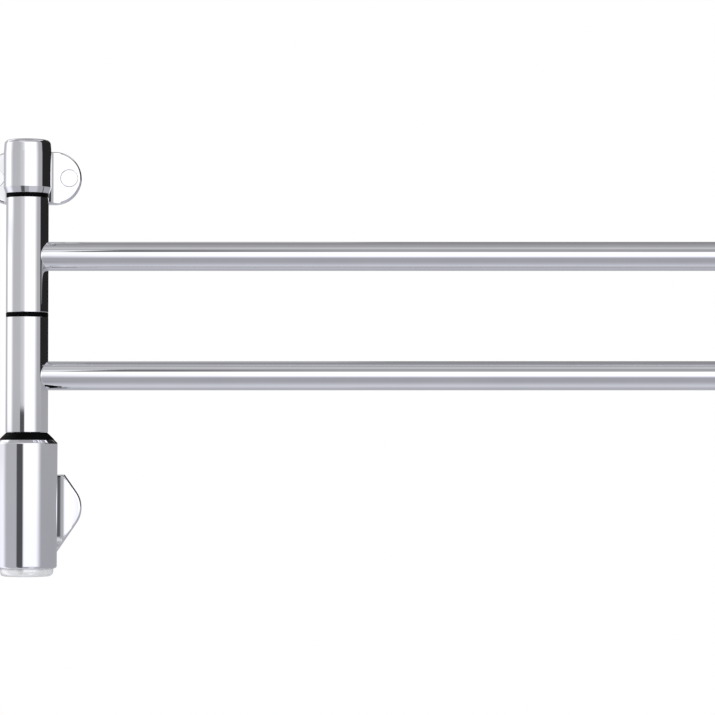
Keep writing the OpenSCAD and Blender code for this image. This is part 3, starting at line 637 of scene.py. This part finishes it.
# Lower bracket: a plate with a round ear on each side that narrows to a tail, hollow behind for the wall
# plate, with a passage for the cable, a bolt from behind into the neck and a locking screw from below. Its
# outline is the hull of three round corners on each side, the ear, the top and the tail. Each is given by how
# far out it reaches, the height of its middle and its radius.
low, high = nodeBox("low_bracket")
lowBracket = {
    "z": 0.0, "thick": 6.0, "edge": 1.5, "column": housingRadius + saddleGap, "end": 36.0,
    "corners": ((high[0], 0, 21.0), (25.55, high[2] - 1.2, 1.2), (15.0, low[2] + 3.0, 3.0)),
    "neck": {"half": housingRadius - 3.9, "low": -22.0, "high": high[2], "sweep": 11.5, "footSweep": 8.0,
             "corner": 1.5, "in": 0.9},
    "inletZ": -5.0, "gland": 9.7, "passage": 7.5, "passageFrom": 7,
    "boltZ": 15.0, "boltHole": 3.2, "boltFrom": 11.5, "headSeat": 5.2, "headFrom": 0.5,
}
lowBracket["plate"] = [
    (side * (out - radius), z, radius) for side in (-1, 1) for out, z, radius in lowBracket["corners"]]

# The hollow follows the plate's outline inside a rim, and ends above the tail, which holds the locking screw:
# where a direction points down, its reach is at most the depth of the hollow's floor divided by its fall
hollow = {"rim": 3.0, "depth": 2.6, "foot": 8.0, "leastFall": 1e-6}
directions = anglesRound(hollowCount)
floorReach = -(low[2] + hollow["foot"]) / np.maximum(-np.sin(directions), hollow["leastFall"])
span = reach(directions, lowBracket["plate"], hollow["rim"])
span = np.where(np.sin(directions) < 0, np.minimum(span, floorReach), span)
hollowRows = (0 * span, behindWall), (span, behindWall), (span, hollow["depth"]), (0 * span, hollow["depth"])
hollowGrid = wallRows(directions, hollowRows)

lock = {"radius": 2.05, "past": 1, "around": 48}
lockFoot, lockTop = low[2] - lock["past"], low[2] + hollow["foot"] + lock["past"]
lockRadius = lock["radius"]
lockLine = np.array([(0, lockFoot), (lockRadius, lockFoot), (lockRadius, lockTop), (0, lockTop)], float)

passageSteps = (lowBracket["gland"], behindWall), (lowBracket["passage"], lowBracket["passageFrom"])
boltSteps = (lowBracket["headSeat"], lowBracket["headFrom"]), (lowBracket["boltHole"], lowBracket["boltFrom"])
piece = skin("lowBracketCasting", bracketGrid(lowBracket))
cutOut(piece, hollowGrid, aboutUpright(lockLine, lock["around"], -lowBracket["thick"] / 2),
       steppedHole(0, lowBracket["inletZ"], *passageSteps, pastNeck),
       steppedHole(0, lowBracket["boltZ"], *boltSteps, pastNeck))
# Its finish has shade painted into the hollow behind the housing
settle(piece, "root", "chrome_plate", "low_bracket", finish=recess["finish"])
print("brackets made")


# Studio floor, in metres: the camera sees it pale and a little lit from inside, and other rays see it plain.
# Polished metal mirrors the floor of the studio further down instead.
floorSpec = {"z": -0.75, "half": 4.0, "white": (0.8, 0.8, 0.8), "lift": 0.5}
quarters = ((-1, -1), (1, -1), (1, 1), (-1, 1))
floorCorners = [(x * floorSpec["half"], y * floorSpec["half"], floorSpec["z"]) for x, y in quarters]
floorMesh = bpy.data.meshes.new("studioFloor")
floorMesh.from_pydata(floorCorners, [], [(0, 1, 2, 3)])
floor = bpy.data.objects.new("studioFloor", floorMesh)
scene.collection.objects.link(floor)
floor.visible_glossy = False


def paintFloor():
    paint = bpy.data.materials.new("floorPaint")
    paint.use_nodes = True
    tree = paint.node_tree
    tree.nodes.clear()
    toCamera = addNode(tree, "ShaderNodeLightPath").outputs["Is Camera Ray"]
    plain = addNode(tree, "ShaderNodeBsdfDiffuse", {"Color": opaque(floorSpec["white"])}).outputs[0]
    glow = addNode(tree, "ShaderNodeEmission", {"Strength": floorSpec["lift"]}).outputs[0]
    lit = addNode(tree, "ShaderNodeAddShader", {0: plain, 1: glow}).outputs[0]
    shown = mixShaders(tree, toCamera, plain, lit)
    addNode(tree, "ShaderNodeOutputMaterial", {"Surface": shown})
    floorMesh.materials.append(paint)


paintFloor()

# What polished metal mirrors: soft boxes and flags round the rail, each with its sides, its heights, its
# light and its softness. Sides are degrees round from the camera's side towards +X, heights are degrees above
# the level. Softness is how far each edge fades to either side of its place: the near and the far side, the
# foot and the top. Later cards lie in front of earlier ones.
cards = {
    "ceiling": ((-180, 180), (46, 120), 0.38, (1, 1, 4, 1)),
    "ceiling, lit part": ((-75, 75), (55, 73), 0.6, (5, 5, 6, 12)),
    "dim wall behind": ((155, 205), (24, 76), 0.295, (6, 6, 5, 8)),
    "lit corner on the right": ((90, 140), (50, 75), 0.7, (3, 5, 2, 2)),
    "lit corner on the left": ((-152, -100), (50, 75), 0.46, (5, 5, 3, 2)),
    "left wall": ((-180, 0), (0.4, 47), 0.525, (1, 4, 1, 3)),
    "left floor": ((-180, -33), (-88, 0.4), 0.478, (1, 2, 9, 1)),
    "right wall": ((50, 90), (0.4, 50), 0.454, (6, 3, 1, 3)),
    "floor under the rail": ((-180, 180), (-130, -70), 0.7, (1, 1, 1, 28)),
    "floor behind": ((155, 205), (-60, -14), 0.475, (8, 8, 9, 6)),
    "pool on the floor": ((19, 46), (-60, -40), 1.25, (4, 8, 5, 4)),
    "pale floor before the rail": ((14, 62), (-40, -27), 0.62, (3, 8, 3, 4)),
    "tall box on the left": ((-126, -84), (0, 4.2), 1.25, (13, 13, 1, 0.5)),
    "tall box, upper part": ((-121, -79), (4.2, 27.5), 1.25, (13, 13, 0.5, 1.5)),
    "tall box, head": ((-147, -122), (27.5, 53), 1.25, (4, 4, 1.5, 2)),
    "tall box, foot": ((-122, -84), (-55, 0), 1.05, (14, 11, 8, 1)),
    "big box by the camera": ((-16, 53), (-8, 30), 1.3, (15, 13, 12.5, 5)),
    "big box, shade on its side": ((-28, -8.5), (0.4, 15), 0.63, (12, 12, 1, 5)),
    "big box, shade on its foot": ((-31, -8.5), (-9, 0.4), 0.478, (1, 10, 3, 1)),
    "pale cloth by the box": ((-40, -6.7), (25, 48.3), 0.8, (6, 0.12, 1.5, 1.2)),
    "bar beside the cloth": ((-6.7, -2), (31.5, 47), 0.15, (0.12, 5, 0.8, 0.8)),
    "stand by the camera": ((-31.2, -7.6), (-13, 0.815), 0.085, (2, 3, 2, 0.08)),
    "stand, foot": ((-29, -9.5), (-50, -13), 0.1, (2.5, 2, 8, 2)),
    "black flag": ((81.5, 184), (1.4, 22), 0.02, (2.5, 2, 0.12, 0.5)),
    "black flag, upper part": ((81.5, 162), (22, 46.5), 0.02, (2.5, 2, 0.5, 1.5)),
    "gap over the flag": ((131, 140), (46.5, 52), 1.2, (1, 1, 0.8, 1)),
    "backdrop": ((186, 194), (-4, 24), 0.5, (2, 2, 3, 3)),
}

# The light of the room between the cards, the light on dull surfaces, the tints above and below the level,
# and the heights of the lower tint with its softness
studio = {
    "room": 0.4, "softLight": 0.8, "tint": (0.99, 0.99, 1.02), "floorTint": (0.97, 0.975, 1.055),
    "floorHeights": (-180, -1), "floorFade": (1, 3),
}
# In degrees
halfTurn = 180.0


# One inside a span of degrees, with smooth edges. Round the horizon the value is first turned to lie within
# half a turn of the middle of the span.
def within(tree, value, span, fades, wraps=False):
    middle, half = (span[0] + span[1]) / 2, (span[1] - span[0]) / 2
    if half >= halfTurn:
        return 1.0
    away = reckon(tree, "SUBTRACT", value, middle)
    if wraps:
        away = reckon(tree, "WRAP", away, halfTurn, -halfTurn)
    near = mapRange(tree, away, (-half - fades[0], -half + fades[0]), kind="SMOOTHSTEP")
    far = mapRange(tree, away, (half + fades[1], half - fades[1]), kind="SMOOTHSTEP")
    return reckon(tree, "MULTIPLY", near, far)


# The light that polished metal mirrors in each direction. The side is the arc tangent of x over -y, and the
# height is the arc sine of z.
def studioLight(tree):
    x, y, z = axisParts(tree, "Generated")
    side = reckon(tree, "DEGREES", reckon(tree, "ARCTAN2", x, reckon(tree, "MULTIPLY", y, -1.0)))
    height = reckon(tree, "DEGREES", reckon(tree, "ARCSINE", z))
    light = studio["room"]
    for sides, heights, cardLight, soft in cards.values():
        inSides = within(tree, side, sides, soft[:2], wraps=True)
        inHeights = within(tree, height, heights, soft[2:])
        light = mix(tree, reckon(tree, "MULTIPLY", inSides, inHeights), light, cardLight)
    below = within(tree, height, studio["floorHeights"], studio["floorFade"])
    shares = [mix(tree, below, above, under) for above, under in zip(studio["tint"], studio["floorTint"])]
    channels = [reckon(tree, "MULTIPLY", light, share) for share in shares]
    return addNode(tree, "ShaderNodeCombineColor", dict(enumerate(channels))).outputs["Color"]


# Glossy rays see the studio, camera and transmission rays see white, and the rest see an even soft light
def lightWorld():
    world = bpy.data.worlds.new("studio")
    scene.world = world
    world.use_nodes = True
    tree = world.node_tree
    tree.nodes.clear()

    def background(colour, strength):
        return addNode(tree, "ShaderNodeBackground", {"Color": colour, "Strength": strength}).outputs[0]

    white = opaque((1, 1, 1))
    rays = addNode(tree, "ShaderNodeLightPath").outputs
    seenDirectly = reckon(tree, "MAXIMUM", rays["Is Camera Ray"], rays["Is Transmission Ray"])
    dull, mirrored = background(white, studio["softLight"]), background(studioLight(tree), 1.0)
    indirect = mixShaders(tree, rays["Is Glossy Ray"], dull, mirrored)
    seen = mixShaders(tree, seenDirectly, indirect, background(white, 1.0))
    addNode(tree, "ShaderNodeOutputWorld", {"Surface": seen})


lightWorld()

lamps = {
    "keyLamp": {"at": (-1.3, -2.2, 1.7), "to": (0.2, 0, 0.1), "size": 1.4, "power": 28},
    "fillLamp": {"at": (2.2, -1.8, 0.9), "to": (0.2, 0, 0.1), "size": 1.6, "power": 12},
}
for lampName, lamp in lamps.items():
    lampData = bpy.data.lights.new(lampName, "AREA")
    lampData.size, lampData.energy = lamp["size"], lamp["power"]
    holder = bpy.data.objects.new(lampName, lampData)
    scene.collection.objects.link(holder)
    holder.location = lamp["at"]
    aim = np.array(lamp["to"]) - np.array(lamp["at"])
    tilt, turn = math.acos(-aim[2] / np.linalg.norm(aim)), math.atan2(aim[1], aim[0]) - quarterTurn
    holder.rotation_euler = (tilt, 0, turn)
    holder.visible_glossy = False

camera = {"at": (0.2502, -2.31, 0.0429), "tilt": 91.8, "lens": 151.05, "sensor": 36, "near": 0.05, "far": 60}
cameraData = bpy.data.cameras.new("camera")
cameraData.lens, cameraData.sensor_width = camera["lens"], camera["sensor"]
cameraData.clip_start, cameraData.clip_end = camera["near"], camera["far"]
cameraObject = bpy.data.objects.new("camera", cameraData)
scene.collection.objects.link(cameraObject)
cameraObject.location = camera["at"]
cameraObject.rotation_euler = (math.radians(camera["tilt"]), 0, 0)
scene.camera = cameraObject
scene.view_settings.view_transform = "Standard"
print("studio made")
